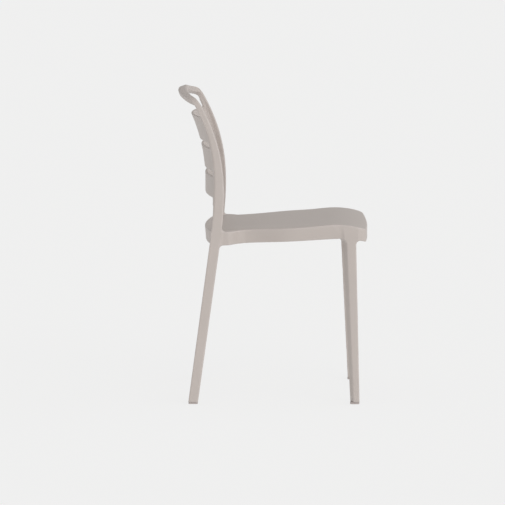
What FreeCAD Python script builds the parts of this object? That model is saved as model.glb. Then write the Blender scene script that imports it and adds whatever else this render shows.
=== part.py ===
import FreeCAD, Part
import math
import os

# Stacking side chair moulded in glass-filled polypropylene, millimetres.
# +X is the front of the seat, +Y the sitter's left, +Z up.  The origin is on the floor,
# under the middle of the chair's bounding box.

Vector = FreeCAD.Vector

# ---- overall size -------------------------------------------------------------------
SEAT_FRONT_X = 247.0        # foremost point of the seat edge, on the centre line
SEAT_REAR_X = -178.0        # rearmost point of the seat edge, on the centre line
RAIL_REAR_X = -247.0        # rearmost point of the top rail
RAIL_TOP_Z = 808.0          # top of the rail before its section leans
FOOT_HALF_SPAN = 225.0      # outer face of a foot from the centre line
KNEE_HALF_SPAN = 214.0      # outer face of a leg from the centre line, at the seat
KNEE_Z = 440.0              # height at which the legs have that span

# ---- legs ---------------------------------------------------------------------------
REAR_FOOT_X = -205.5        # centre of a rear foot
REAR_LEG_RAKE = 0.1375      # forward travel of a rear leg per unit of height
REAR_FOOT_WIDTH = 25.0      # front to back
REAR_KNEE_WIDTH = 27.0
FRONT_FOOT_X = 212.5        # centre of a front foot
FRONT_LEG_RAKE = -0.037
FRONT_FOOT_WIDTH = 24.5
FRONT_KNEE_WIDTH = 36.5
FOOT_THICKNESS = 21.0       # side to side
KNEE_THICKNESS = 24.0
LEG_EDGE_RADIUS = 3.0
FOOT_FACET = 9.0            # how far a front leg's rear face slants forward, at the foot
KNEE_FACET = 12.0
FRONT_LEG_EXCESS = 10.0     # how far a front leg is built past the seat before it is cut back
SHOULDER_REAR_X = -155.0    # block that carries a rear leg on the side of the seat
SHOULDER_FRONT_X = -107.0   # its outer face ends here and slants in to the skirt
SHOULDER_END_X = -83.0
SHOULDER_SPAN = 213.0
SHOULDER_ROOT_Y = 144.0

# ---- seat ---------------------------------------------------------------------------
SEAT_SLOPE = 0.060          # rise of the seat per unit of length towards the front
SEAT_REF_X = 152.0          # where the front of the seat starts to roll over
SEAT_REF_Z = 464.3          # height of the seat edge there
SEAT_ROLL_RADIUS = 231.0    # radius of that roll-over
SEAT_EDGE_DEPTH = 37.5      # height of the skirt round the seat, skin included
SEAT_SKIN = 5.0
SKIRT_WALL = 5.0
SEAT_FRONT_HALF = 209.0     # half width at the front legs
SEAT_REAR_HALF = 184.0      # half width between the rear legs
SEAT_SIDE_POLES = (         # plan control points of the seat's left edge, front to rear
    (160.0, 209.0),
    (120.0, 212.5),
    (75.0, 215.0),
    (30.0, 213.0),
    (-15.0, 196.5),
    (-50.0, 185.0),
    (-85.0, 184.0),
)
SEAT_FRONT_BOW = 3000.0     # radius of the front edge in plan
SEAT_FRONT_CORNER = 22.0
SEAT_REAR_BOW = 900.0
SEAT_REAR_CORNER = 50.0
FRONT_SKIRT_X = 168.0       # the side skirts end here and the front skirt begins
REAR_SKIRT_X = -115.0       # the side skirts end here and the rear skirt begins
RIB_THICKNESS = 3.0
RIB_DEPTH = 17.0
LENGTH_RIB_Y = (-110.0, 0.0, 110.0)
CROSS_RIB_X = (-70.0, 40.0, 150.0)
BELOW_SEAT_Z = 380.0        # level clear below the seat, where cutting blocks start
ABOVE_SEAT_Z = 500.0        # level clear above it
CLEAR_SPAN = 300.0          # half size of a block that is wider than the seat

# ---- back ---------------------------------------------------------------------------
STILE_FOOT_Z = 446.0        # a rear leg ends and a stile begins
LEG_BEND_Z = 430.0          # the rear leg's straight part ends
STILE_UPRIGHT_Z = 540.0     # the stile is upright from here
STILE_LEAN_Z = 560.0        # and leans back above this
STILE_LEAN_RADIUS = 436.0
STILE_TOP_Z = 764.0
STILE_TOP_HALF_SPAN = 187.0
STILE_TOP_WIDTH = 16.0
STILE_TOP_THICKNESS = 17.0
SLAT_THICKNESS = 8.0
SLAT_EDGES = {              # lower and upper edge of each slat
    "lower_back_slat": (531.0, 585.5),
    "middle_back_slat": (598.5, 658.5),
    "upper_back_slat": (671.5, 738.0),
}
SLAT_BOW_LOW = 25.0         # how far the slats bow to the rear, at the lowest edge
SLAT_BOW_HIGH = 29.5        # and at the highest edge
RAIL_DEPTH = 26.0           # section of the top rail at the middle
RAIL_THICKNESS = 17.0
RAIL_EXTRA_RADIUS = 4.0     # how much rounder the rail's edges are at the middle
RAIL_SECTIONS = 24
RAIL_LEAN = 0.35             # drop of the rail section's deep axis per unit towards the rear
RAIL_START = (-7.0, 0.0, 13.0)  # from a stile's top to the rail's next control point
RAIL_POLES = (              # control points: ahead of and below the crown, share of the span
    (26.0, -18.0, 0.96),
    (14.0, -13.5, 0.74),
    (1.0, -6.0, 0.37),
)

# ---- feet ---------------------------------------------------------------------------
GLIDE_HEIGHT = 5.0
GLIDE_INSET = 0.6
GLIDE_STEM_RADIUS = 5.0
GLIDE_STEM_LENGTH = 18.0


# ---- curves shared by several pieces ------------------------------------------------
def outer_half_span(z):
    """Distance of a leg's or a stile's outer face from the centre line."""
    if z <= KNEE_Z:
        return FOOT_HALF_SPAN + (KNEE_HALF_SPAN - FOOT_HALF_SPAN) * z / KNEE_Z
    share = (z - KNEE_Z) / (STILE_TOP_Z - KNEE_Z)
    return KNEE_HALF_SPAN + (STILE_TOP_HALF_SPAN - KNEE_HALF_SPAN) * share


def rear_line_x(z):
    """Middle of a rear leg and of the stile above it, seen from the side."""
    if z <= LEG_BEND_Z:
        return REAR_FOOT_X + REAR_LEG_RAKE * z
    knee_x = REAR_FOOT_X + REAR_LEG_RAKE * LEG_BEND_Z
    bend = STILE_UPRIGHT_Z - LEG_BEND_Z
    if z <= STILE_UPRIGHT_Z:
        rise = z - LEG_BEND_Z
        return knee_x + REAR_LEG_RAKE * (rise - rise * rise / (2.0 * bend))
    upright_x = knee_x + REAR_LEG_RAKE * bend / 2.0
    rise = max(0.0, z - STILE_LEAN_Z)
    return upright_x - STILE_LEAN_RADIUS + math.sqrt(STILE_LEAN_RADIUS ** 2 - rise ** 2)


def rear_line_width(z):
    """Front-to-back width of a rear leg and of the stile above it."""
    if z <= STILE_UPRIGHT_Z:
        return REAR_FOOT_WIDTH + (REAR_KNEE_WIDTH - REAR_FOOT_WIDTH) * z / STILE_UPRIGHT_Z
    share = (z - STILE_UPRIGHT_Z) / (STILE_TOP_Z - STILE_UPRIGHT_Z)
    return REAR_KNEE_WIDTH + (STILE_TOP_WIDTH - REAR_KNEE_WIDTH) * share


def rear_line_thickness(z):
    """Side-to-side thickness of a rear leg and of the stile above it."""
    if z <= KNEE_Z:
        return FOOT_THICKNESS + (KNEE_THICKNESS - FOOT_THICKNESS) * z / KNEE_Z
    share = (z - KNEE_Z) / (STILE_TOP_Z - KNEE_Z)
    return KNEE_THICKNESS + (STILE_TOP_THICKNESS - KNEE_THICKNESS) * share


def rear_line_centre(z):
    """Middle of a rear leg's or a stile's level section, on the sitter's left."""
    return Vector(rear_line_x(z), outer_half_span(z) - rear_line_thickness(z) / 2.0, z)


def seat_edge_z(x):
    """Height of the seat's upper surface."""
    flat = SEAT_REF_Z + SEAT_SLOPE * (x - SEAT_REF_X)
    if x <= SEAT_REF_X:
        return flat
    run = x - SEAT_REF_X
    return flat - SEAT_ROLL_RADIUS + math.sqrt(SEAT_ROLL_RADIUS ** 2 - run ** 2)


# ---- small building helpers ---------------------------------------------------------
def rounded_polygon(corners, radius):
    """Closed wire round the corners in turn, each of them rounded to the radius."""
    arcs = []
    for before, corner, after in zip(corners[-1:] + corners[:-1], corners, corners[1:] + corners[:1]):
        back = (before - corner).normalize()
        ahead = (after - corner).normalize()
        inward = (back + ahead).normalize()
        half_angle = back.getAngle(ahead) / 2.0
        reach = radius / math.tan(half_angle)
        hub = corner + inward * (radius / math.sin(half_angle))
        arcs.append((corner + back * reach, hub - inward * radius, corner + ahead * reach))
    edges = []
    for arc, following in zip(arcs, arcs[1:] + arcs[:1]):
        edges.append(Part.Arc(*arc).toShape())
        edges.append(Part.LineSegment(arc[2], following[0]).toShape())
    return Part.Wire(edges)


def rounded_section(centre, u_axis, v_axis, u_size, v_size, radius):
    """Closed wire of a rectangle with rounded corners."""
    corners = []
    for sign_u, sign_v in ((1, 1), (-1, 1), (-1, -1), (1, -1)):
        corners.append(centre + u_axis * (sign_u * u_size / 2.0) + v_axis * (sign_v * v_size / 2.0))
    return rounded_polygon(corners, radius)


def loft(wires):
    return Part.makeLoft(wires, True, False)


def mirrored(shape):
    return shape.mirror(Vector(0, 0, 0), Vector(0, 1, 0))


def box_between(x0, x1, y0, y1, z0, z1):
    return Part.makeBox(x1 - x0, y1 - y0, z1 - z0, Vector(x0, y0, z0))


def seat_height_box(x0, x1, y0, y1):
    """Block over that area that is taller than the seat."""
    return box_between(x0, x1, y0, y1, BELOW_SEAT_Z, ABOVE_SEAT_Z)


# ---- legs and stiles, built for the sitter's left side ------------------------------
def rear_line_solid(heights):
    """Rear leg or stile as a loft through level sections at the given heights."""
    wires = []
    for z in heights:
        wires.append(rounded_section(rear_line_centre(z), Vector(1, 0, 0), Vector(0, 1, 0),
                                     rear_line_width(z), rear_line_thickness(z),
                                     LEG_EDGE_RADIUS))
    return loft(wires)


def front_leg_size(z):
    """Front-to-back width and side-to-side thickness of a front leg."""
    width = FRONT_FOOT_WIDTH + (FRONT_KNEE_WIDTH - FRONT_FOOT_WIDTH) * z / KNEE_Z
    thickness = FOOT_THICKNESS + (KNEE_THICKNESS - FOOT_THICKNESS) * z / KNEE_Z
    return width, thickness


def front_leg_centre(z):
    thickness = front_leg_size(z)[1]
    return Vector(FRONT_FOOT_X + FRONT_LEG_RAKE * z, outer_half_span(z) - thickness / 2.0, z)


def front_leg_bar(z0, z1):
    """Bar whose rear face slants forward from its inner to its outer side."""
    wires = []
    for z in (z0, z1):
        width, thickness = front_leg_size(z)
        facet = FOOT_FACET + (KNEE_FACET - FOOT_FACET) * z / KNEE_Z
        centre = front_leg_centre(z)
        corners = [
            centre + Vector(width / 2.0, thickness / 2.0, 0),
            centre + Vector(facet - width / 2.0, thickness / 2.0, 0),
            centre + Vector(-width / 2.0, -thickness / 2.0, 0),
            centre + Vector(width / 2.0, -thickness / 2.0, 0),
        ]
        wires.append(rounded_polygon(corners, LEG_EDGE_RADIUS))
    return loft(wires)


def glide_stem(foot):
    return Part.makeCylinder(GLIDE_STEM_RADIUS, GLIDE_STEM_LENGTH, foot)


def left_front_leg(seat_block):
    top = seat_edge_z(FRONT_FOOT_X + FRONT_LEG_RAKE * KNEE_Z)
    bar = front_leg_bar(GLIDE_HEIGHT, top + FRONT_LEG_EXCESS)
    stem = glide_stem(front_leg_centre(GLIDE_HEIGHT))
    return bar.common(seat_slab(0.0, top)).cut(seat_block).cut(stem)


def shoulder():
    """Block beside the seat that carries a rear leg; its front end slants in to the skirt."""
    plan = [
        Vector(SHOULDER_REAR_X, SHOULDER_ROOT_Y, BELOW_SEAT_Z),
        Vector(SHOULDER_REAR_X, SHOULDER_SPAN, BELOW_SEAT_Z),
        Vector(SHOULDER_FRONT_X, SHOULDER_SPAN, BELOW_SEAT_Z),
        Vector(SHOULDER_END_X, SEAT_REAR_HALF, BELOW_SEAT_Z),
        Vector(SHOULDER_END_X, SHOULDER_ROOT_Y, BELOW_SEAT_Z),
    ]
    outline = Part.makePolygon(plan + plan[:1])
    block = Part.Face(outline).extrude(Vector(0, 0, ABOVE_SEAT_Z - BELOW_SEAT_Z))
    return block.common(seat_slab(0.0, SEAT_EDGE_DEPTH))


def left_rear_leg(seat_block, stile):
    """Leg with the shoulder that ties it to the side of the seat."""
    bar = rear_line_solid((GLIDE_HEIGHT, LEG_BEND_Z / 2.0, LEG_BEND_Z, STILE_FOOT_Z))
    stem = glide_stem(rear_line_centre(GLIDE_HEIGHT))
    return bar.fuse(shoulder()).cut(stile).cut(seat_block).cut(stem).removeSplitter()


def left_back_stile():
    span = STILE_TOP_Z - STILE_FOOT_Z
    return rear_line_solid([STILE_FOOT_Z + span * step / 7.0 for step in range(8)])


# ---- top rail -----------------------------------------------------------------------
def top_rail_curve():
    """Centre line of the rail, from the right stile's top to the left one's."""
    low = rear_line_centre(STILE_TOP_Z)
    crown = Vector(RAIL_REAR_X + RAIL_DEPTH / 2.0, 0.0, RAIL_TOP_Z - RAIL_THICKNESS / 2.0)
    half = [low, low + Vector(*RAIL_START)]
    for ahead, above, share in RAIL_POLES:
        half.append(Vector(crown.x + ahead, low.y * share, crown.z + above))
    other = [Vector(p.x, -p.y, p.z) for p in half]
    curve = Part.BSplineCurve()
    curve.buildFromPoles(other + [crown] + half[::-1], False, 3)
    return curve


def top_rail():
    """Arched rail from stile top to stile top, swept back over the slats."""
    curve = top_rail_curve()
    length = curve.length()
    wires = []
    for step in range(RAIL_SECTIONS + 1):
        share = step / RAIL_SECTIONS
        parameter = curve.parameterAtDistance(length * share, curve.FirstParameter)
        along = curve.tangent(parameter)[0]
        if step in (0, RAIL_SECTIONS):
            along = Vector(0.0, 0.0, along.z)
            along.normalize()
        back = Vector(-1.0, 0.0, -RAIL_LEAN)
        deep = back - along * back.dot(along)
        deep.normalize()
        middle = math.sin(math.pi * share) ** 2
        depth = STILE_TOP_WIDTH + (RAIL_DEPTH - STILE_TOP_WIDTH) * middle
        thickness = STILE_TOP_THICKNESS + (RAIL_THICKNESS - STILE_TOP_THICKNESS) * middle
        radius = LEG_EDGE_RADIUS + RAIL_EXTRA_RADIUS * middle
        wires.append(rounded_section(curve.value(parameter), deep, along.cross(deep),
                                     depth, thickness, radius))
    return loft(wires)


# ---- slats --------------------------------------------------------------------------
def slat_bow(z):
    low = SLAT_EDGES["lower_back_slat"][0]
    high = SLAT_EDGES["upper_back_slat"][1]
    return SLAT_BOW_LOW + (SLAT_BOW_HIGH - SLAT_BOW_LOW) * (z - low) / (high - low)


def back_slat(low, high, stiles):
    """Upright panel bowed to the rear; its rear face starts at the stiles' rear edge."""
    wires = []
    for step in range(4):
        z = low + (high - low) * step / 3.0
        half = outer_half_span(z) - rear_line_thickness(z) / 2.0
        end_x = rear_line_x(z) - rear_line_width(z) / 2.0 + 1.0
        mid_x = end_x - slat_bow(z)
        rear = Part.Arc(Vector(end_x, -half, z), Vector(mid_x, 0, z), Vector(end_x, half, z))
        front_x = end_x + SLAT_THICKNESS
        front = Part.Arc(Vector(front_x, half, z), Vector(mid_x + SLAT_THICKNESS, 0, z),
                         Vector(front_x, -half, z))
        left_end = Part.LineSegment(Vector(end_x, half, z), Vector(front_x, half, z))
        right_end = Part.LineSegment(Vector(front_x, -half, z), Vector(end_x, -half, z))
        wires.append(Part.Wire([rear.toShape(), left_end.toShape(), front.toShape(),
                                right_end.toShape()]))
    slat = loft(wires)
    for stile in stiles:
        slat = slat.cut(stile)
    return slat


# ---- seat ---------------------------------------------------------------------------
def mirrored_point(point):
    return Vector(point.x, -point.y, 0)


def bowed_end(tip_x, inward, radius, corner_radius, side_y):
    """Three points of the rounded corner between an end of the seat and its left side.

    The end is an arc through (tip_x, 0); inward is +1 where the seat lies towards +X.
    """
    hub_x = tip_x + inward * radius
    corner_y = side_y - corner_radius
    reach = radius - corner_radius
    corner_x = hub_x - inward * math.sqrt(reach ** 2 - corner_y ** 2)
    grow = radius / reach
    joint = Vector(hub_x + (corner_x - hub_x) * grow, corner_y * grow, 0)
    outward = Vector(-inward, 1.0, 0).normalize() * corner_radius
    middle = Vector(corner_x, corner_y, 0) + outward
    return joint, middle, Vector(corner_x, side_y, 0)


def seat_outline(inset):
    """Plan outline of the seat, or of the skirt's inner side: bowed ends, waisted sides."""
    front_x = SEAT_FRONT_X - inset
    rear_x = SEAT_REAR_X + inset
    front = bowed_end(front_x, -1, SEAT_FRONT_BOW - inset, SEAT_FRONT_CORNER - inset,
                      SEAT_FRONT_HALF - inset)
    rear = bowed_end(rear_x, 1, SEAT_REAR_BOW - inset, SEAT_REAR_CORNER - inset,
                     SEAT_REAR_HALF - inset)
    between = [Vector(x, y - inset, 0) for x, y in SEAT_SIDE_POLES]
    left_poles = [front[2]] + between + [rear[2]]
    left_side = Part.BSplineCurve()
    left_side.buildFromPoles(left_poles, False, 3)
    right_side = Part.BSplineCurve()
    right_side.buildFromPoles([mirrored_point(pole) for pole in reversed(left_poles)], False, 3)
    front_right = [mirrored_point(point) for point in front]
    rear_right = [mirrored_point(point) for point in rear]
    curves = [
        Part.Arc(front_right[0], Vector(front_x, 0, 0), front[0]),
        Part.Arc(*front),
        left_side,
        Part.Arc(rear[2], rear[1], rear[0]),
        Part.Arc(rear[0], Vector(rear_x, 0, 0), rear_right[0]),
        Part.Arc(*rear_right),
        right_side,
        Part.Arc(front_right[2], front_right[1], front_right[0]),
    ]
    return Part.Wire([curve.toShape() for curve in curves])


def seat_slab(top_drop, bottom_drop):
    """Everything between two copies of the seat's side profile, set down by two drops."""
    front_x = CLEAR_SPAN
    middle_x = (SEAT_REF_X + front_x) / 2.0

    def profile(drop):
        points = []
        for x in (-CLEAR_SPAN, SEAT_REF_X, middle_x, front_x):
            points.append(Vector(x, -CLEAR_SPAN, seat_edge_z(x) - drop))
        return points

    upper = profile(top_drop)
    lower = profile(bottom_drop)
    edges = [
        Part.LineSegment(upper[0], upper[1]).toShape(),
        Part.Arc(upper[1], upper[2], upper[3]).toShape(),
        Part.LineSegment(upper[3], lower[3]).toShape(),
        Part.Arc(lower[3], lower[2], lower[1]).toShape(),
        Part.LineSegment(lower[1], lower[0]).toShape(),
        Part.LineSegment(lower[0], upper[0]).toShape(),
    ]
    return Part.Face(Part.Wire(edges)).extrude(Vector(0, 2.0 * CLEAR_SPAN, 0))


def seat_prism(inset):
    """Upright block with the seat's outline, taller than the seat."""
    outline = seat_outline(inset)
    outline.translate(Vector(0, 0, BELOW_SEAT_Z))
    return Part.Face(outline).extrude(Vector(0, 0, ABOVE_SEAT_Z - BELOW_SEAT_Z))


def under_seat_ribs(inner_prism):
    ribs = []
    half = RIB_THICKNESS / 2.0
    for y in LENGTH_RIB_Y:
        ribs.append(seat_height_box(-CLEAR_SPAN, CLEAR_SPAN, y - half, y + half))
    for x in CROSS_RIB_X:
        ribs.append(seat_height_box(x - half, x + half, -CLEAR_SPAN, CLEAR_SPAN))
    grid = ribs[0].multiFuse(ribs[1:])
    return grid.common(inner_prism).common(seat_slab(SEAT_SKIN, SEAT_SKIN + RIB_DEPTH))


# ---- glides -------------------------------------------------------------------------
def glide(foot, width, thickness):
    """Foot plug: a sole as wide as the leg and a stem pressed up into it."""
    base = Vector(foot.x, foot.y, 0)
    wire = rounded_section(base, Vector(1, 0, 0), Vector(0, 1, 0), width - 2 * GLIDE_INSET,
                           thickness - 2 * GLIDE_INSET, LEG_EDGE_RADIUS)
    sole = Part.Face(wire).extrude(Vector(0, 0, GLIDE_HEIGHT))
    return sole.fuse(glide_stem(foot)).removeSplitter()


# ---- the whole chair ----------------------------------------------------------------
def add_pair(nodes, name, shape):
    nodes["left_" + name] = shape
    nodes["right_" + name] = mirrored(shape)


def add_seat(nodes):
    """Seat skin, the skirt round it in four lengths, and the ribs."""
    outer = seat_prism(0.0)
    inner = seat_prism(SKIRT_WALL)
    nodes["seat_pan"] = outer.common(seat_slab(0.0, SEAT_SKIN))
    nodes["under_seat_ribs"] = under_seat_ribs(inner)
    ring = outer.cut(inner).common(seat_slab(SEAT_SKIN, SEAT_EDGE_DEPTH))
    nodes["front_skirt"] = ring.common(
        seat_height_box(FRONT_SKIRT_X, CLEAR_SPAN, -CLEAR_SPAN, CLEAR_SPAN))
    nodes["rear_skirt"] = ring.common(
        seat_height_box(-CLEAR_SPAN, REAR_SKIRT_X, -CLEAR_SPAN, CLEAR_SPAN))
    add_pair(nodes, "side_skirt",
             ring.common(seat_height_box(REAR_SKIRT_X, FRONT_SKIRT_X, 0.0, CLEAR_SPAN)))


def add_legs(nodes):
    """Legs cut back to the seat's edge, and the glides in their feet."""
    seat_block = seat_prism(0.0).common(seat_slab(0.0, SEAT_EDGE_DEPTH))
    add_pair(nodes, "front_leg", left_front_leg(seat_block))
    add_pair(nodes, "rear_leg", left_rear_leg(seat_block, left_back_stile()))
    add_pair(nodes, "front_foot_glide",
             glide(front_leg_centre(GLIDE_HEIGHT), *front_leg_size(GLIDE_HEIGHT)))
    add_pair(nodes, "rear_foot_glide",
             glide(rear_line_centre(GLIDE_HEIGHT), rear_line_width(GLIDE_HEIGHT),
                   rear_line_thickness(GLIDE_HEIGHT)))


def add_back(nodes):
    """Stiles, the three slats between them and the rail over the top."""
    stile = left_back_stile()
    add_pair(nodes, "back_stile", stile)
    for name, (low, high) in SLAT_EDGES.items():
        nodes[name] = back_slat(low, high, (stile, mirrored(stile)))
    nodes["top_rail"] = top_rail()


def build():
    nodes = {}
    add_seat(nodes)
    add_legs(nodes)
    add_back(nodes)
    return nodes


def main():
    os.makedirs("parts", exist_ok=True)
    for name, shape in sorted(build().items()):
        box = shape.BoundBox
        print(f"{name:28s} solids {len(shape.Solids)} valid {shape.isValid()} "
              f"volume {shape.Volume / 1000.0:8.1f} cm3  "
              f"x {box.XMin:7.1f} {box.XMax:7.1f}  y {box.YMin:7.1f} {box.YMax:7.1f}  "
              f"z {box.ZMin:6.1f} {box.ZMax:6.1f}")
        shape.exportStep("parts/" + name + ".step")


main()
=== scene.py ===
import math

import bpy
import numpy as np
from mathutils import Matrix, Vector


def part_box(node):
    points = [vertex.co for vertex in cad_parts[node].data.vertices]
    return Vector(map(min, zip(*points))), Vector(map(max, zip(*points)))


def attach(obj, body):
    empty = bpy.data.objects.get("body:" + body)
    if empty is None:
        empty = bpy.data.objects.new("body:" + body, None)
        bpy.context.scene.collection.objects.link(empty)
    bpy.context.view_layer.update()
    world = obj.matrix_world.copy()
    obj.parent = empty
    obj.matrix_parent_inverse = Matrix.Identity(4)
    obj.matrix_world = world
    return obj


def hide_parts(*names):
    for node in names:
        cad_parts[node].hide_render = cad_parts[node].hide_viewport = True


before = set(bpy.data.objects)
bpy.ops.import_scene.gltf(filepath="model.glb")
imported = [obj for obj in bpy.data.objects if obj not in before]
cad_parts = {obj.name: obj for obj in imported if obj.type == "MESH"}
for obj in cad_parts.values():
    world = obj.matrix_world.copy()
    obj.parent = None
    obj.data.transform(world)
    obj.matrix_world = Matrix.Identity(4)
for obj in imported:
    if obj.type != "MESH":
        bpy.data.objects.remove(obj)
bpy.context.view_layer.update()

# Stacking chair: one matt plastic moulding and four foot glides.
# The moulding is described as one solid by signed distances, so that every joint between
# leg, seat, stile, slat and rail has its moulded round.  It is skinned once and parted
# into pieces at flat seams.  Metres, in the frame's axes: +X is the front of the seat, +Y the
# sitter's left, +Z up.  The solid is symmetric, so its functions are written for +Y.

# ---- places taken from the frame --------------------------------------------------------
SEAT_LOW, SEAT_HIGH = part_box("seat_pan")
SKIRT_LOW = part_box("front_skirt")[0]
STILE_FOOT_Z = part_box("left_back_stile")[0].z
STILE_TOP_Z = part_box("left_back_stile")[1].z
FRONT_GLIDE_LOW, FRONT_GLIDE_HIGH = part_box("left_front_foot_glide")
REAR_GLIDE_LOW, REAR_GLIDE_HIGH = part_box("left_rear_foot_glide")
SLAT_NAMES = ("lower_back_slat", "middle_back_slat", "upper_back_slat")
SLAT_SPANS = [(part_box(name)[0].z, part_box(name)[1].z) for name in SLAT_NAMES]
SEAT_SHELL_NODES = ("seat_pan", "front_skirt", "rear_skirt", "left_side_skirt",
                    "right_side_skirt")

# ---- driving dimensions: skin -------------------------------------------------------------
CELL = 0.00225               # size of a skin cell on the moulding
RIB_CELL = 0.0016
GLIDE_CELL = 0.0006
RIB_MARGIN = 0.006           # room left round a solid when it is skinned
GLIDE_MARGIN = 0.005
SKIN_LOW_X, SKIN_HIGH_X = -0.262, 0.262
SKIN_HALF_WIDTH = 0.235
SKIN_LOW_Z, SKIN_HIGH_Z = -0.010, 0.830
BLOCK = 4                    # lattice points along a side of a block
NEAR_SHARE = 1.15            # blocks nearer to the surface than this share of a block are refined
PULLS = 4                    # times that the skin's points are drawn onto the solid
PULL_PROBE = 0.1             # probe steps, as shares of a cell
NORMAL_PROBE = 0.2
LEAST_SLOPE = 0.2            # squared slope below which a pull no longer grows
CREST_REACH = 0.0025         # how far round a point its convexity is felt
FAR = 0.1                    # distance given to points that a part is nowhere near

# ---- driving dimensions: legs and stiles --------------------------------------------------
FOOT_HALF_SPAN = 0.225       # outer face of a foot from the centre line
KNEE_HALF_SPAN = 0.214       # the same at the seat
STILE_TOP_HALF_SPAN = 0.187
KNEE_Z = 0.440
FOOT_THICKNESS = 0.021       # side to side
KNEE_THICKNESS = 0.024
LEG_EDGE = 0.003             # radius of the legs' edges
STILE_REAR_EDGE = 0.007      # radius of the stiles' rear outer edge
SOFT_EDGE_Z = (0.470, 0.530, 0.700, 0.732)   # levels between which that radius fades in and out
FACE_CLEAR = 0.008           # how far the outer faces' plane stands clear of the seat
FACE_CLEAR_X = (-0.08, 0.165)
FACE_CLEAR_FADE = 0.05

REAR_FOOT_X = -0.2055
REAR_RAKE = 0.1375
REAR_FOOT_WIDTH = 0.025
REAR_KNEE_WIDTH = 0.027
LEG_BEND_Z = 0.430
UPRIGHT_Z = 0.540
LEAN_Z = 0.560               # the stile leans back above this
LEAN_RADIUS = 0.436
STILE_TOP_WIDTH = 0.016
STILE_TOP_THICKNESS = 0.017

FRONT_FOOT_X = 0.2125
FRONT_RAKE = -0.037
FRONT_FOOT_WIDTH = 0.0245
FRONT_KNEE_WIDTH = 0.0365
FACET_FOOT = 0.009           # width, seen from the side, of the slanted rear face of a front leg
FACET_KNEE = 0.012
ARCH_RADIUS = 0.014          # round between a front leg and the skirt's lower edge
LEG_TOP_COVER = 0.002        # a front leg ends this far and the arch's radius below the seat's top

# ---- driving dimensions: seat -------------------------------------------------------------
SEAT_SLOPE = 0.060
SEAT_REF_X = 0.152           # the front rolls over ahead of this
SEAT_REF_Z = 0.4643
SEAT_ROLL_RADIUS = 0.231
SEAT_ROLL_REACH = 0.12       # longest run of the roll-over
SEAT_DEPTH = 0.0375
LIP_RISE = 0.004             # how much shallower the skirt is along the front
LIP_RISE_X = (0.165, 0.215)
SIDE_ROLL = 0.003            # how far the seat's sides roll down below its middle
SIDE_ROLL_WIDTH = 0.030
SIDE_ROLL_REAR_X = -0.150    # the roll grows ahead of this
SIDE_ROLL_REAR_FADE = 0.060
SIDE_ROLL_FRONT_X = 0.150    # and is gone here
SIDE_ROLL_FRONT_FADE = 0.070
SEAT_SKIN = 0.005
SKIRT_WALL = 0.005
SKIRT_DRAFT = 0.003          # how far the skirt leans in over its depth
DRAFT_FADE_X = 0.190         # ahead of this the skirt turns upright
DRAFT_FADE_LENGTH = 0.030
SEAT_TOP_EDGE = 0.0035
SKIRT_LOW_EDGE = 0.002
CAVITY_ROUND = 0.003         # radius between the skirt's inner face and the skin
CAVITY_EDGE = 0.0012         # radius of the cavity's rim
LEG_TOP_INNER_Y = 0.190      # inner end of the top of a front leg, seen from above
LEG_TOP_WALL = 0.004         # material kept between that top and the cavity
LEG_TOP_ROUND = 0.004

FRONT_HALF = 0.2125
REAR_HALF = 0.184
FRONT_BOW = 3.000
FRONT_CORNER = 0.022
REAR_BOW = 0.900
REAR_CORNER = 0.050
SIDE_POLES = (               # plan control points of the seat's left edge, front to rear
    (0.160, 0.2125), (0.120, 0.2125), (0.075, 0.2145), (0.030, 0.213),
    (-0.015, 0.1965), (-0.050, 0.185), (-0.085, 0.184),
)
ARC_POINTS = 24
SIDE_POINTS = 90
PLAN_STEP = 0.001            # step of the table of distances from the outline
PLAN_MARGIN = 0.03

SHOULDER_FRONT_X = -0.107    # front end of the block that carries a rear leg
SHOULDER_SPAN = 0.213
SHOULDER_SLOPE_X = -0.083    # where its slanted front end reaches the skirt
SHOULDER_END_X = -0.065      # ahead of this the side of the seat is clear of the shoulder
SHOULDER_SETBACK = 0.002     # the block starts this far ahead of the leg's rear face
SHOULDER_CORNER = 0.008
SHOULDER_PLAN_ROUND = 0.012  # round between the block and the seat's side, seen from above
SHOULDER_ROUND = 0.008       # round between the seat and a rear leg or stile
FRONT_BLOCK_ROUND = 0.012    # round between the skirt and the outer face of a front leg

RIB_THICKNESS = 0.003
RIB_DEPTH = 0.017
RIB_DRAFT = 0.0008           # how much thicker a rib is at its root
RIB_BED = 0.0006             # how far a rib is bedded into the skin and the skirt
RIB_ROUND = 0.002
RIB_EDGE = 0.001
LENGTH_RIB_Y = (0.0, 0.110)
CROSS_RIB_X = (-0.070, 0.040, 0.150)

# ---- driving dimensions: back -------------------------------------------------------------
SLAT_THICKNESS = 0.008
SLAT_EDGE = 0.0026
SLAT_ROUND = 0.003           # round between the slats and the stiles
SLAT_SETBACK = 0.001         # the slats' rear stands this far ahead of the stiles' rear
SLOT_ROUND = 0.0062          # radius of the slots' ends
WINDOW_ROUND = 0.010         # radius of the corners above and below the slats
WINDOW_BELOW = 0.05          # how far the opening under the slats reaches below the stiles' feet
WINDOW_ABOVE = 0.08          # how far the opening over the slats reaches
SHEET_MARGIN = 0.02          # how far the uncut panel runs past the slats
BACK_COSINE = 0.95           # turns level distances into ones square to the leaning back
BOW_LOW = 0.025
BOW_HIGH = 0.0295
BOW_LIMITS = (-0.3, 1.3)     # shares of the slats' height between which the bow grows

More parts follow.
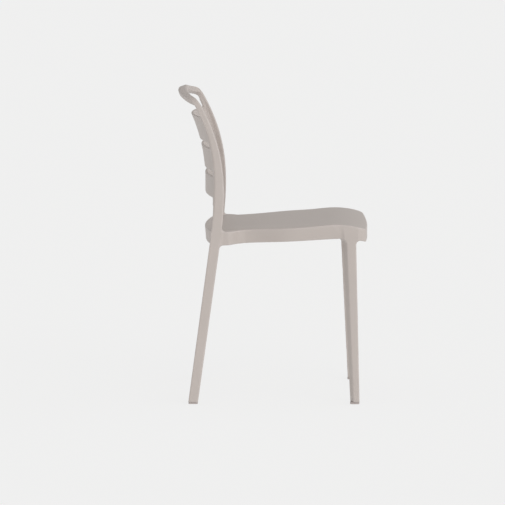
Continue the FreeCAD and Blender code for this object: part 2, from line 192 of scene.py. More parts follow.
RAIL_DEPTH = 0.026
RAIL_THICKNESS = 0.017
RAIL_EDGE = 0.007
RAIL_LEAN = 0.35
RAIL_TOP_Z = 0.808           # top of the rail before its section leans
RAIL_REAR_X = -0.247
RAIL_ROOT_DROPS = (0.030, 0.020, 0.010)   # levels below a stile's top where the rail is rooted
RAIL_ROOT_SHARE = 0.885      # the root's width square to its line, for a stile's level width
RAIL_START = (-0.007, 0.0, 0.013)   # from a stile's top to the rail's next control point
RAIL_POLES = (               # control points: ahead of and above the crown, share of the half span
    (0.026, -0.018, 0.96), (0.014, -0.0135, 0.74), (0.001, -0.006, 0.37),
)
RAIL_STEPS = 48
RAIL_OVERRUN = 5             # steps past the crown, so that its middle is smooth

# ---- driving dimensions: glides -----------------------------------------------------------
GLIDE_HEIGHT = 0.005
GLIDE_CORNER = 0.003
GLIDE_BEVEL = 0.0012
GLIDE_RING_RADIUS = 0.0062   # ring pressed into the sole
GLIDE_GROOVE_RADIUS = 0.0009
GLIDE_STEM_RADIUS = 0.005
GLIDE_STEM_EDGE = 0.0008

# ---- space that each part lies in, as spans of x, y and z -----------------------------------
SEAT_SPACE = ((-0.24, 0.30), (-1, 0.26), (0.36, 0.52))
CAVITY_SPACE = ((-0.22, 0.29), (-1, 0.24), (0.34, 0.50))
FRONT_LEG_SPACE = ((0.13, 0.27), (0.14, 0.27), (-0.05, 0.50))
REAR_LINE_SPACE = ((-0.29, -0.07), (0.11, 0.27), (-0.05, 0.80))
SHEET_SPACE = ((-0.29, -0.07), (-1, 0.24), (0.48, 0.80))
RAIL_SPACE = ((-0.29, -0.13), (-1, 0.23), (0.72, 0.86))
FACE_SPACE = ((-0.29, 0.27), (0.14, 0.30), (-0.05, 0.80))

# ---- seams between the pieces of the moulding ---------------------------------------------
FRONT_LEG_SEAM_Z = 0.405
SIDE_SEAM_Y = 0.1875
SIDE_SEAM_LOW_Z = 0.38
STILE_SEAM_Z = 0.4600
RAIL_SEAM_Z = 0.7645
SLAT_SEAMS_Y = (0.1800, 0.1755, 0.1690)
SLAT_BAND_MARGIN = 0.03      # how far the lowest slat's band reaches below it
BACK_X = -0.09               # the legs, stiles and slats of the back lie behind this
FRONT_X = 0.12               # and the front legs ahead of this

# ---- looks and stage ------------------------------------------------------------------------
PLASTIC = (0.469, 0.419, 0.388)
PLASTIC_WORN = (0.56, 0.505, 0.485)
# painted shade: tone laid into concave creases and fillets
PLASTIC_CREASE_SHADE = (0.40, 0.352, 0.335)
PLASTIC_GLOSS = 0.12         # how much smoother the plastic is where it is rubbed
PLASTIC_ROUGHNESS = 0.48
PLASTIC_SPECULAR = 0.42
GLIDE_COLOUR = (0.40, 0.352, 0.335)
GLIDE_SPECULAR = 0.35
STREAK_DEPTH = 0.00010       # depths of the surface's reliefs
PIT_DEPTH = 0.00010
GRAIN_DEPTH = 0.00006
SCUFF_DEPTH = 0.00010
GLIDE_GRAIN_DEPTH = 0.00004
STUDIO_WHITE = (1.0, 1.0, 0.997, 1.0)
FLOOR_HALF = 60.0
FLOOR_GREY = 0.12
FLOOR_GLOW = 0.77            # strengths of the floor's own light and of the sky
SKY = 0.60
LIGHTS = (                   # name, azimuth, elevation, strength, spread
    ("camera_side", 0, 20, 0.40, 50),
    ("front_right", 40, 22, 0.90, 50),
    ("far_right", 100, 25, 0.50, 60),
)
CAMERA_LENS = 283.6
CAMERA_PLACE = (0.02277, -10.3714, 1.59871)
CAMERA_AZIMUTH = 0.42
CAMERA_ELEVATION = 6.77


# ---- curves -------------------------------------------------------------------------------
def clamped_spline(poles, count):
    """Points along a clamped uniform cubic B-spline."""
    poles = np.array(poles, float)
    spans = len(poles) - 3
    knots = np.concatenate([np.zeros(3), np.arange(spans + 1), np.full(3, spans)])
    t = np.linspace(0, spans, count)
    t[-1] -= 1e-9
    basis = [((t >= a) & (t < b)).astype(float) for a, b in zip(knots[:-1], knots[1:])]
    for degree in (1, 2, 3):
        raised = []
        for i in range(len(basis) - 1):
            low = knots[i + degree] - knots[i]
            high = knots[i + degree + 1] - knots[i + 1]
            value = np.zeros_like(t)
            if low > 0:
                value += (t - knots[i]) / low * basis[i]
            if high > 0:
                value += (knots[i + degree + 1] - t) / high * basis[i + 1]
            raised.append(value)
        basis = raised
    return np.array(basis).T @ poles


def outer_half_span(z):
    """Distance of the legs' and stiles' outer faces from the centre line."""
    return np.interp(z, (0.0, KNEE_Z, STILE_TOP_Z),
                     (FOOT_HALF_SPAN, KNEE_HALF_SPAN, STILE_TOP_HALF_SPAN))


def rear_line_x(z):
    """Middle of a rear leg and of its stile, seen from the side."""
    bend = UPRIGHT_Z - LEG_BEND_Z
    rise = np.clip(z - LEG_BEND_Z, 0, bend)
    lean = np.clip(z - LEAN_Z, 0, STILE_TOP_Z - LEAN_Z)
    straight = REAR_FOOT_X + REAR_RAKE * np.minimum(z, LEG_BEND_Z)
    return (straight + REAR_RAKE * (rise - rise ** 2 / (2 * bend))
            - LEAN_RADIUS + np.sqrt(LEAN_RADIUS ** 2 - lean ** 2))


def rear_line_width(z):
    """Width, seen from the side, of a rear leg and of its stile."""
    return np.interp(z, (0.0, UPRIGHT_Z, STILE_TOP_Z),
                     (REAR_FOOT_WIDTH, REAR_KNEE_WIDTH, STILE_TOP_WIDTH))


def rear_line_thickness(z):
    """Their thickness from side to side."""
    return np.interp(z, (0.0, KNEE_Z, STILE_TOP_Z),
                     (FOOT_THICKNESS, KNEE_THICKNESS, STILE_TOP_THICKNESS))


def seat_top(x):
    """Height of the seat's upper surface, and the cosine of its slope."""
    run = np.clip(x - SEAT_REF_X, 0, SEAT_ROLL_REACH)
    root = np.sqrt(SEAT_ROLL_RADIUS ** 2 - run ** 2)
    height = SEAT_REF_Z + SEAT_SLOPE * (x - SEAT_REF_X) - SEAT_ROLL_RADIUS + root
    slope = SEAT_SLOPE - run / root
    return height, 1.0 / np.sqrt(1.0 + slope ** 2)


# ---- distances ----------------------------------------------------------------------------
def round_union(a, b, r):
    """Union of two solids whose meeting corner is filled to the radius r."""
    return np.maximum(r, np.minimum(a, b)) - np.hypot(np.maximum(r - a, 0), np.maximum(r - b, 0))


def round_common(a, b, r):
    """Common part of two solids with its edge rounded to the radius r."""
    return np.minimum(-r, np.maximum(a, b)) + np.hypot(np.maximum(a + r, 0), np.maximum(b + r, 0))


def only_in(box, x, y, z, solid):
    """Distances of a solid, worked out inside a box and far outside it."""
    (x0, x1), (y0, y1), (z0, z1) = box
    near = (x > x0) & (x < x1) & (y > y0) & (y < y1) & (z > z0) & (z < z1)
    d = np.full(x.shape, FAR)
    d[near] = solid(x[near], y[near], z[near])
    return d


def line_distance(points, line):
    """Distance of each point from a polyline, with the nearest segment and place on it."""
    best = np.full(len(points), 1e9)
    segment = np.zeros(len(points), int)
    share = np.zeros(len(points))
    for i, (a, b) in enumerate(zip(line[:-1], line[1:])):
        along = b - a
        t = np.clip(((points - a) @ along) / (along @ along), 0, 1)
        gap = ((points - a - t[:, None] * along) ** 2).sum(1)
        closer = gap < best
        best[closer] = gap[closer]
        segment[closer] = i
        share[closer] = t[closer]
    return np.sqrt(best), segment, share


# ---- seat ---------------------------------------------------------------------------------
def arc(hub, radius, start, stop):
    """Points along an arc in plan, between two angles in degrees."""
    angles = np.radians(np.linspace(start, stop, ARC_POINTS))
    return [(hub[0] + radius * math.cos(a), hub[1] + radius * math.sin(a)) for a in angles]


def half_outline():
    """Left half of the seat's outline, from the middle of the front to that of the rear."""
    def corner_hub(tip_x, inward, bow, corner, half):
        hub_x = tip_x + inward * bow
        across = half - corner
        return hub_x, hub_x - inward * math.sqrt((bow - corner) ** 2 - across ** 2), across

    bow_x, hub_x, across = corner_hub(SEAT_HIGH.x, -1, FRONT_BOW, FRONT_CORNER, FRONT_HALF)
    turn = math.degrees(math.atan2(across, hub_x - bow_x))
    front = arc((bow_x, 0), FRONT_BOW, 0, turn)
    front += arc((hub_x, across), FRONT_CORNER, turn, 90)[1:]
    bow_x, hub_x, across = corner_hub(SEAT_LOW.x, 1, REAR_BOW, REAR_CORNER, REAR_HALF)
    turn = math.degrees(math.atan2(across, hub_x - bow_x))
    rear = arc((hub_x, across), REAR_CORNER, 90, turn)
    rear += arc((bow_x, 0), REAR_BOW, turn, 180)[1:]
    side = clamped_spline([front[-1], *SIDE_POLES, rear[0]], SIDE_POINTS)
    return np.array(front + [tuple(p) for p in side[1:-1]] + rear)


OUTLINE = half_outline()


def plan_table():
    """Signed distances from the seat's outline on a fine level grid."""
    xs = np.arange(SEAT_LOW.x - PLAN_MARGIN, SEAT_HIGH.x + PLAN_MARGIN, PLAN_STEP)
    ys = np.arange(0, SEAT_HIGH.y + PLAN_MARGIN, PLAN_STEP)
    grid_x, grid_y = np.meshgrid(xs, ys, indexing="ij")
    flat = np.column_stack([grid_x.ravel(), grid_y.ravel()])
    gap = line_distance(flat, OUTLINE)[0].reshape(grid_x.shape)
    edge = np.interp(grid_x, OUTLINE[::-1, 0], OUTLINE[::-1, 1], left=-1, right=-1)
    return np.where(grid_y < edge, -gap, gap)


PLAN = plan_table()


def plan_distance(x, y):
    """Signed distance from the seat's outline, seen from above."""
    u = np.clip((x - SEAT_LOW.x + PLAN_MARGIN) / PLAN_STEP, 0, PLAN.shape[0] - 1.001)
    v = np.clip(y / PLAN_STEP, 0, PLAN.shape[1] - 1.001)
    i, j = u.astype(int), v.astype(int)
    u, v = u - i, v - j
    return ((PLAN[i, j] * (1 - u) + PLAN[i + 1, j] * u) * (1 - v)
            + (PLAN[i, j + 1] * (1 - u) + PLAN[i + 1, j + 1] * u) * v)


def shoulder_plan(x, y):
    """Block that reaches from the seat's side out to a rear leg, with a slanted front end."""
    run = SHOULDER_SLOPE_X - SHOULDER_FRONT_X
    drop = SHOULDER_SPAN - REAR_HALF
    length = math.hypot(run, drop)
    slope = ((x - SHOULDER_FRONT_X) * drop + (y - SHOULDER_SPAN) * run) / length
    rear = rear_line_x(KNEE_Z) - REAR_KNEE_WIDTH / 2 - x
    block = round_common(slope, y - SHOULDER_SPAN, SHOULDER_CORNER)
    return np.maximum(block, rear + SHOULDER_SETBACK)


def front_block_plan(x, y):
    """The top of a front leg, seen from above."""
    middle = FRONT_FOOT_X + FRONT_RAKE * KNEE_Z
    front = x - middle - FRONT_KNEE_WIDTH / 2
    rear = middle - FRONT_KNEE_WIDTH / 2 + FACET_KNEE - x
    return np.maximum(np.maximum(front, rear), LEG_TOP_INNER_Y - y)


def side_roll(x, plan):
    """How far the seat's top lies below its middle, near the sides and short of the front."""
    reach = np.clip(1.0 + plan / SIDE_ROLL_WIDTH, 0, 1)
    grown = np.clip((x - SIDE_ROLL_REAR_X) / SIDE_ROLL_REAR_FADE, 0, 1)
    along = grown * np.clip((SIDE_ROLL_FRONT_X - x) / SIDE_ROLL_FRONT_FADE, 0, 1)
    return SIDE_ROLL * reach ** 2 * along * along * (3 - 2 * along)


def seat_solid(x, y, z):
    """Seat and skirt as a full block: sloping top, skirt with draft, shoulder blocks."""
    plan = plan_distance(x, y)
    roll = side_roll(x, plan)
    plan = round_union(plan, shoulder_plan(x, y), SHOULDER_PLAN_ROUND)
    plan = round_union(plan, front_block_plan(x, y), FRONT_BLOCK_ROUND)
    height, cosine = seat_top(x)
    depth = height - z
    draft = SKIRT_DRAFT * (1 - np.clip((x - DRAFT_FADE_X) / DRAFT_FADE_LENGTH, 0, 1))
    rise = np.interp(x, LIP_RISE_X, (0.0, LIP_RISE))
    side = plan + draft * np.clip(depth / SEAT_DEPTH, 0, 1)
    body = round_common(side, (roll - depth) * cosine, SEAT_TOP_EDGE)
    return round_common(body, (depth - SEAT_DEPTH + rise) * cosine, SKIRT_LOW_EDGE)


def seat_cavity(x, y, z):
    """Space inside the skirt and under the skin, clear of the tops of the front legs."""
    height, cosine = seat_top(x)
    depth = height - z
    side = plan_distance(x, y) + SKIRT_WALL + SKIRT_DRAFT * np.clip(depth / SEAT_DEPTH, 0, 1)
    roll = side_roll(x, side - SKIRT_WALL)
    hollow = round_common(side, (SEAT_SKIN + roll - depth) * cosine, CAVITY_ROUND)
    middle = FRONT_FOOT_X + FRONT_RAKE * KNEE_Z
    half = FRONT_KNEE_WIDTH / 2
    column = np.maximum(np.abs(x - middle) - half, LEG_TOP_INNER_Y - y)
    return round_common(hollow, LEG_TOP_WALL - column, LEG_TOP_ROUND)


# ---- legs and back ------------------------------------------------------------------------
def front_leg(x, y, z):
    """Tapered leg with a slanted rear face; its outer face is cut later with the others."""
    share = z / KNEE_Z
    half_width = (FRONT_FOOT_WIDTH + (FRONT_KNEE_WIDTH - FRONT_FOOT_WIDTH) * share) / 2
    thickness = FOOT_THICKNESS + (KNEE_THICKNESS - FOOT_THICKNESS) * share
    facet = FACET_FOOT + (FACET_KNEE - FACET_FOOT) * share
    u = x - FRONT_FOOT_X - FRONT_RAKE * z
    inner = outer_half_span(z) - thickness - y
    length = np.hypot(thickness, facet)
    rear = (-(u + half_width) * thickness - inner * facet) / length
    d = round_common(u - half_width, inner, LEG_EDGE)
    d = round_common(d, rear, LEG_EDGE)
    top, cosine = seat_top(x)
    return np.maximum(d, (z - top + ARCH_RADIUS + LEG_TOP_COVER) * cosine)


def rear_line(x, y, z):
    """Rear leg and back stile; the outer face is cut later."""
    u = np.abs(x - rear_line_x(z)) - rear_line_width(z) / 2
    inner = outer_half_span(z) - rear_line_thickness(z) - y
    d = round_common(u, inner, LEG_EDGE)
    return np.maximum(d, z - STILE_TOP_Z)


def back_sheet(x, y, z):
    """Thin panel bowed to the rear, with two slots between its three slats."""
    low, high = SLAT_SPANS[0][0], SLAT_SPANS[-1][1]
    half = outer_half_span(z) - rear_line_thickness(z) / 2
    bow = BOW_LOW + (BOW_HIGH - BOW_LOW) * np.clip((z - low) / (high - low), *BOW_LIMITS)
    radius = (half ** 2 + bow ** 2) / (2 * bow)
    rear_x = (rear_line_x(z) - rear_line_width(z) / 2 + SLAT_SETBACK - bow + radius
              - np.sqrt(radius ** 2 - np.minimum(y, half) ** 2))
    gap = (np.abs(x - rear_x - SLAT_THICKNESS / 2) - SLAT_THICKNESS / 2) * BACK_COSINE
    inner = outer_half_span(z) - rear_line_thickness(z)
    windows = [(STILE_FOOT_Z - WINDOW_BELOW, low, WINDOW_ROUND),
               (high, high + WINDOW_ABOVE, WINDOW_ROUND)]
    for (_, top), (bottom, _) in zip(SLAT_SPANS[:-1], SLAT_SPANS[1:]):
        windows.append((top, bottom, SLOT_ROUND))
    beyond = np.abs(z - (low + high) / 2) - (high - low) / 2 - SHEET_MARGIN
    solid = np.maximum(y - half, beyond)
    for bottom, top, radius in windows:
        across = y - inner
        upright = np.abs(z - (bottom + top) / 2) - (top - bottom) / 2
        solid = np.maximum(solid, -round_common(across, upright, radius))
    return round_common(gap, solid, SLAT_EDGE)


def rail_path():
    """Centre line of the top rail, from inside the left stile to just past the crown."""
    half_y = STILE_TOP_HALF_SPAN - STILE_TOP_THICKNESS / 2
    start = np.array([float(rear_line_x(STILE_TOP_Z)), half_y, STILE_TOP_Z])
    crown = np.array([RAIL_REAR_X + RAIL_DEPTH / 2, 0, RAIL_TOP_Z - RAIL_THICKNESS / 2])
    half = [start, start + RAIL_START]
    for ahead, above, part in RAIL_POLES:
        half.append(np.array([crown[0] + ahead, half_y * part, crown[2] + above]))
    other = [p * (1, -1, 1) for p in half[::-1]]
    curve = clamped_spline(half + [crown] + other, 2 * RAIL_STEPS + 1)
    root = [np.array([float(rear_line_x(z)),
                      float(outer_half_span(z) - rear_line_thickness(z) / 2), z])
            for z in STILE_TOP_Z - np.array(RAIL_ROOT_DROPS)]
    return np.vstack([root, curve[:RAIL_STEPS + RAIL_OVERRUN + 1]])


def rail_growth(line):
    """How far the rail has grown from a stile's section to its own, at each point: 0 to 1."""
    steps = np.linalg.norm(np.diff(line, axis=0), axis=1)
    length = np.concatenate([[0], np.cumsum(steps)])
    start = length[len(RAIL_ROOT_DROPS)]
    crown = length[len(RAIL_ROOT_DROPS) + RAIL_STEPS]
    share = np.clip((length - start) / (2 * (crown - start)), 0, 1)
    return np.sin(np.pi * share) ** 2


def rail_line():
    """The rail's centre line, its sections' two directions, and their sizes and edges."""
    line = rail_path()
    grown = rail_growth(line)
    along = np.gradient(line, axis=0)
    along /= np.linalg.norm(along, axis=1)[:, None]
    back = np.array((-1.0, 0.0, -RAIL_LEAN))
    deep = back - along * (along @ back)[:, None]
    deep /= np.linalg.norm(deep, axis=1)[:, None]
    thick = np.cross(along, deep)
    root_z = STILE_TOP_Z - RAIL_ROOT_DROPS[0]
    root_width = np.interp(line[:, 2], (root_z, STILE_TOP_Z),
                           (float(rear_line_width(root_z)), STILE_TOP_WIDTH)) * RAIL_ROOT_SHARE
    root_thick = rear_line_thickness(line[:, 2])
    widths = root_width + (RAIL_DEPTH - root_width) * grown
    thicks = root_thick + (RAIL_THICKNESS - root_thick) * grown
    edges = LEG_EDGE + (RAIL_EDGE - LEG_EDGE) * grown
    return line, deep, thick, np.column_stack([widths, thicks, edges])


RAIL_LINE, RAIL_DEEP, RAIL_THICK, RAIL_SIZES = rail_line()


def top_rail(x, y, z):
    """Rounded bar along the rail's centre line."""
    points = np.column_stack([x, y, z])
    _, i, t = line_distance(points, RAIL_LINE)
    t = t[:, None]

    def at(table):
        return table[i] * (1 - t) + table[i + 1] * t

    away = points - at(RAIL_LINE)
    width, thickness, edge = at(RAIL_SIZES).T
    u = np.abs((away * at(RAIL_DEEP)).sum(1)) - width / 2 + edge
    v = np.abs((away * at(RAIL_THICK)).sum(1)) - thickness / 2 + edge
    d = np.hypot(np.maximum(u, 0), np.maximum(v, 0)) + np.minimum(np.maximum(u, v), 0) - edge
    return np.maximum(d, STILE_TOP_Z - RAIL_ROOT_DROPS[0] - z)


def outer_faces(x, y, z):
    """Plane of the legs' and stiles' outer faces; it stands clear of the seat between them."""
    rear, front = FACE_CLEAR_X
    between = np.minimum((x - rear) / FACE_CLEAR_FADE, (front - x) / FACE_CLEAR_FADE)
    return y - outer_half_span(z) - FACE_CLEAR * np.clip(between, 0, 1)


def moulding(x, y, z):
    """The whole moulding."""
    y = np.abs(y)
    seat = only_in(SEAT_SPACE, x, y, z, seat_solid)
    front = only_in(FRONT_LEG_SPACE, x, y, z, front_leg)
    rear = only_in(REAR_LINE_SPACE, x, y, z, rear_line)
    sheet = only_in(SHEET_SPACE, x, y, z, back_sheet)
    rail = only_in(RAIL_SPACE, x, y, z, top_rail)
    d = round_union(seat, front, ARCH_RADIUS)
    d = round_union(d, rear, SHOULDER_ROUND)
    d = round_union(d, sheet, SLAT_ROUND)
    faces = only_in(FACE_SPACE, x, y, z, outer_faces)
    faces = np.where(faces == FAR, -FAR, faces)
    softer = np.interp(z, SOFT_EDGE_Z, (0, 1, 1, 0)) * (x < rear_line_x(z))
    d = round_common(d, faces, LEG_EDGE + (STILE_REAR_EDGE - LEG_EDGE) * softer)
    d = np.minimum(d, rail)
    cavity = only_in(CAVITY_SPACE, x, y, z, seat_cavity)
    d = round_common(d, -cavity, CAVITY_EDGE)
    d = np.maximum(d, GLIDE_HEIGHT - z)
    for low, high in ((FRONT_GLIDE_LOW, FRONT_GLIDE_HIGH), (REAR_GLIDE_LOW, REAR_GLIDE_HIGH)):
        foot = (low + high) / 2
        bore = np.maximum(np.hypot(x - foot.x, y - foot.y) - GLIDE_STEM_RADIUS, z - high.z)
        d = np.maximum(d, -bore)
    return d


# ---- skin -----------------------------------------------------------------------------------
CORNERS = [(i, j, k) for i in (0, 1) for j in (0, 1) for k in (0, 1)]
EDGES = [(a, b) for a in range(8) for b in range(a + 1, 8)
         if sum(abs(p - q) for p, q in zip(CORNERS[a], CORNERS[b])) == 1]


def lattice_values(solid, low, counts, cell):
    """Distances on a lattice, exact near the surface and only signed away from it."""
    blocks = [-(-n // BLOCK) for n in counts]
    size = BLOCK * cell
    axes = [low[a] + size * (np.arange(blocks[a]) + 0.5) - cell / 2 for a in range(3)]
    centres = [g.ravel() for g in np.meshgrid(*axes, indexing="ij")]
    coarse = solid(*centres).reshape(blocks)
    values = coarse.astype(np.float32)
    for axis in range(3):
        values = values.repeat(BLOCK, axis)
    near = np.argwhere(np.abs(coarse) < size * NEAR_SHARE)
    inner = np.array([(i, j, k) for i in range(BLOCK) for j in range(BLOCK) for k in range(BLOCK)])
    index = (near[:, None] * BLOCK + inner).reshape(-1, 3)
    points = np.array(low) + index * cell
    values[tuple(index.T)] = solid(*points.T)
    return values


def slope_of(solid, points, step):
    """Distances at points and the direction in which they grow, from four probes."""
    probes = np.array([(1, -1, -1), (-1, -1, 1), (-1, 1, -1), (1, 1, 1)], float)
    grown = np.zeros_like(points)
    total = 0.0
    for probe in probes:
        value = solid(*(points + probe * step).T)
        grown += value[:, None] * probe
        total = total + value
    return total / 4, grown / (4 * step)


def surface_cells(inside):
    """Cells of the lattice that the surface passes through."""
    corner_sets = [inside[i:inside.shape[0] - 1 + i, j:inside.shape[1] - 1 + j,
                          k:inside.shape[2] - 1 + k] for i, j, k in CORNERS]
    some = np.logical_or.reduce(corner_sets)
    whole = np.logical_and.reduce(corner_sets)
    return np.argwhere(some & ~whole)


def crossing_means(values, cells):
    """Mean place, in cells, where the surface crosses the edges of each cell."""
    at_corner = np.array([values[tuple((cells + c).T)] for c in CORNERS])
    total = np.zeros((len(cells), 3))
    crossings = np.zeros(len(cells))
    for a, b in EDGES:
        crossed = (at_corner[a] < 0) != (at_corner[b] < 0)
        t = np.where(crossed, at_corner[a] / np.where(crossed, at_corner[a] - at_corner[b], 1), 0)
        start, stop = np.array(CORNERS[a], float), np.array(CORNERS[b], float)
        total += crossed[:, None] * (start + t[:, None] * (stop - start))
        crossings += crossed
    return cells + total / crossings[:, None]


def draw_onto(solid, points, fixed, cell):
    """Points drawn onto the solid's surface, apart from their fixed coordinates."""
    for _ in range(PULLS):
        value, slope = slope_of(solid, points, cell * PULL_PROBE)
        slope = np.where(fixed, 0, slope)
        steepness = np.maximum((slope ** 2).sum(1), LEAST_SLOPE)
        push = value[:, None] * slope / steepness[:, None]
        points = points - np.clip(push, -cell / 2, cell / 2)
    return points


def quads_between(inside, cells):
    """One quad round each lattice edge that the surface crosses, facing outwards."""
    number = np.full([n - 1 for n in inside.shape], -1)
    number[tuple(cells.T)] = np.arange(len(cells))
    quads = []
    for axis in range(3):
        u, v = (axis + 1) % 3, (axis + 2) % 3
        head = [slice(1, -1)] * 3
        tail = [slice(1, -1)] * 3
        head[axis], tail[axis] = slice(0, -1), slice(1, None)
        here, there = inside[tuple(head)], inside[tuple(tail)]
        edges = np.argwhere(here != there)
        leaving = here[tuple(edges.T)]
        offset = np.ones(3, int)
        offset[axis] = 0
        edges = edges + offset
        ring = []
        for du, dv in ((-1, -1), (0, -1), (0, 0), (-1, 0)):
            neighbour = edges.copy()
            neighbour[:, u] += du
            neighbour[:, v] += dv
            ring.append(number[tuple(neighbour.T)])
        ring = np.array(ring).T
        ring[~leaving] = ring[~leaving][:, ::-1]
        quads.append(ring)
    return np.vstack(quads)


def skin(solid, low, high, cell, seams=None):
    """Closed quad mesh over a solid: points, faces and normals.

    seams(points) gives, for points that lie in a seam's layer of cells, where the seam
    holds them: an array of coordinates that is NaN where they are free.
    """
    low = np.array(low, float)
    counts = [int(math.ceil((h - l) / cell)) + 1 for l, h in zip(low, high)]
    values = lattice_values(solid, low, counts, cell)
    inside = values < 0
    cells = surface_cells(inside)
    points = low + crossing_means(values, cells) * cell
    held = seams(low + (cells + 0.5) * cell) if seams else np.full(points.shape, np.nan)
    fixed = ~np.isnan(held)
    points = draw_onto(solid, np.where(fixed, held, points), fixed, cell)
    normals = slope_of(solid, points, cell * NORMAL_PROBE)[1]
    normals /= np.maximum(np.linalg.norm(normals, axis=1), 1e-9)[:, None]
    return points, quads_between(inside, cells), normals


# ---- the moulding's pieces ------------------------------------------------------------------
def slat_bands():
    """For each slat: its lowest and highest level, halfway into the openings beside it."""
    low = [SLAT_SPANS[0][0] - SLAT_BAND_MARGIN]
    for (_, top), (bottom, _) in zip(SLAT_SPANS[:-1], SLAT_SPANS[1:]):
        low.append((top + bottom) / 2)
    return list(zip(low, low[1:] + [RAIL_SEAM_Z]))


def moulding_seams(points):
    """Where each seam holds the points of its layer of cells."""
    held = np.full(points.shape, np.nan)
    x, z = points[:, 0], points[:, 2]
    y = np.abs(points[:, 1])
    side = np.sign(points[:, 1])

    def layer(value, seam):
        return np.abs(value - seam) < CELL / 2 + 1e-9

    for area, seam in ((x > FRONT_X, FRONT_LEG_SEAM_Z), (x < BACK_X, STILE_SEAM_Z),
                       (x < BACK_X, RAIL_SEAM_Z)):
        rows = area & layer(z, seam)
        held[rows, 2] = seam
    for (bottom, top), seam in zip(slat_bands(), SLAT_SEAMS_Y):
        rows = (x < BACK_X) & (z > bottom) & (z < top) & layer(y, seam)
        held[rows, 1] = seam * side[rows]
    side_z = (z > SIDE_SEAM_LOW_Z) & (z < STILE_SEAM_Z - CELL)
    rows = (x < SHOULDER_END_X) & side_z & layer(y, SIDE_SEAM_Y)
    held[rows, 1] = SIDE_SEAM_Y * side[rows]
    return held


def piece_names(points):
    """Name of the piece that each point of the moulding belongs to."""
    x, z = points[:, 0], points[:, 2]
    y = np.abs(points[:, 1])
    names = np.full(len(points), "seat_shell", dtype="<U24")
    side = np.where(points[:, 1] > 0, "left_", "right_")
    rear_leg = (x < SHOULDER_END_X) & (y > SIDE_SEAM_Y) & (z < STILE_SEAM_Z)
    front_leg_rows = (x > FRONT_X) & (z < FRONT_LEG_SEAM_Z)
    stile = (x < BACK_X) & (z > STILE_SEAM_Z)
    for rows, name in ((rear_leg, "rear_leg"), (front_leg_rows, "front_leg"),
                       (stile, "back_stile")):
        names[rows] = np.char.add(side[rows], name)
    for (bottom, top), seam, name in zip(slat_bands(), SLAT_SEAMS_Y, SLAT_NAMES):
        names[stile & (z > bottom) & (z < top) & (y < seam)] = name
    names[stile & (z > RAIL_SEAM_Z)] = "top_rail"
    return names


def open_loops(faces):
    """Loops round the open edges of a mesh, in the order that closes it."""
    heads = np.roll(faces, -1, axis=1)
    edges = np.column_stack([faces.ravel(), heads.ravel()])
    ends = set(map(tuple, edges))
    follow = {b: a for a, b in ends if (b, a) not in ends}
    loops = []
    while follow:
        start, point = follow.popitem()
        loop = [start]
        while point != start:
            loop.append(point)
            point = follow.pop(point)
        loops.append(loop)
    return sorted(loops)


def crest(solid, points):
    """How convex the surface is at each point: 0 flat, towards 1 on a tight edge."""
    total = -6 * solid(*points.T)
    for axis in range(3):
        for sign in (-1, 1):
            probe = points.copy()
            probe[:, axis] += sign * CREST_REACH
            total += solid(*probe.T)
    return np.clip(total / CREST_REACH, -1, 1)


def mesh_object(node, points, faces, normals, crests, caps=()):
    """Object with smooth faces that keep the solid's own normals, and flat caps."""
    name = node + "_skin"
    mesh = bpy.data.meshes.new(name)
    mesh.from_pydata(points.tolist(), [], faces.tolist() + [list(cap) for cap in caps])
    mesh.attributes.new("crest", "FLOAT", "POINT").data.foreach_set(
        "value", crests.astype(np.float32))
    corner_normals = [normals[faces.ravel()]]
    for cap, polygon in zip(caps, list(mesh.polygons)[len(faces):]):
        corner_normals.append(np.tile(np.array(polygon.normal), (len(cap), 1)))
    mesh.normals_split_custom_set(np.vstack(corner_normals).tolist())
    piece = bpy.data.objects.new(name, mesh)
    bpy.context.scene.collection.objects.link(piece)
    return piece


def skinned_object(name, solid, low, high, cell):
    points, faces, normals = skin(solid, low, high, cell)
    return mesh_object(name, points, faces, normals, crest(solid, points))


def moulding_pieces():
    """The moulding, skinned once and parted at its seams into closed pieces."""
    half_cells = int(math.ceil(SKIN_HALF_WIDTH / CELL)) + 0.5
    low = (SKIN_LOW_X, -half_cells * CELL, SKIN_LOW_Z)
    high = (SKIN_HIGH_X, half_cells * CELL, SKIN_HIGH_Z)
    points, faces, normals = skin(moulding, low, high, CELL, moulding_seams)
    crests = crest(moulding, points)
    names = piece_names(points[faces].mean(1))
    made = {}
    for name in sorted(set(names)):
        own = faces[names == name]
        used, renumbered = np.unique(own, return_inverse=True)
        own = renumbered.reshape(own.shape)
        made[str(name)] = mesh_object(str(name), points[used], own, normals[used], crests[used],
                                      open_loops(own))
    return made


# ---- ribs and glides ------------------------------------------------------------------------
def ribs_solid(x, y, z):
    """Grid of ribs under the seat, bedded a little into the skin and the skirt."""
    y = np.abs(y)
    height, cosine = seat_top(x)
    depth = height - z
    half = RIB_THICKNESS / 2 + RIB_DRAFT / 2 * (1 - (depth - SEAT_SKIN) / RIB_DEPTH)
    d = np.full(x.shape, FAR)
    for rib_y in LENGTH_RIB_Y:
        d = np.minimum(d, np.abs(y - rib_y) - half)
    for rib_x in CROSS_RIB_X:
        d = round_union(d, np.abs(x - rib_x) - half, RIB_ROUND)
    side = plan_distance(x, y) + SKIRT_WALL + SKIRT_DRAFT * np.clip(depth / SEAT_DEPTH, 0, 1)
    d = np.maximum(d, side - RIB_BED)
    roll = side_roll(x, side - SKIRT_WALL)
    d = np.maximum(d, (SEAT_SKIN + roll - RIB_BED - depth) * cosine)
    return round_common(d, (depth - SEAT_SKIN - RIB_DEPTH) * cosine, RIB_EDGE)


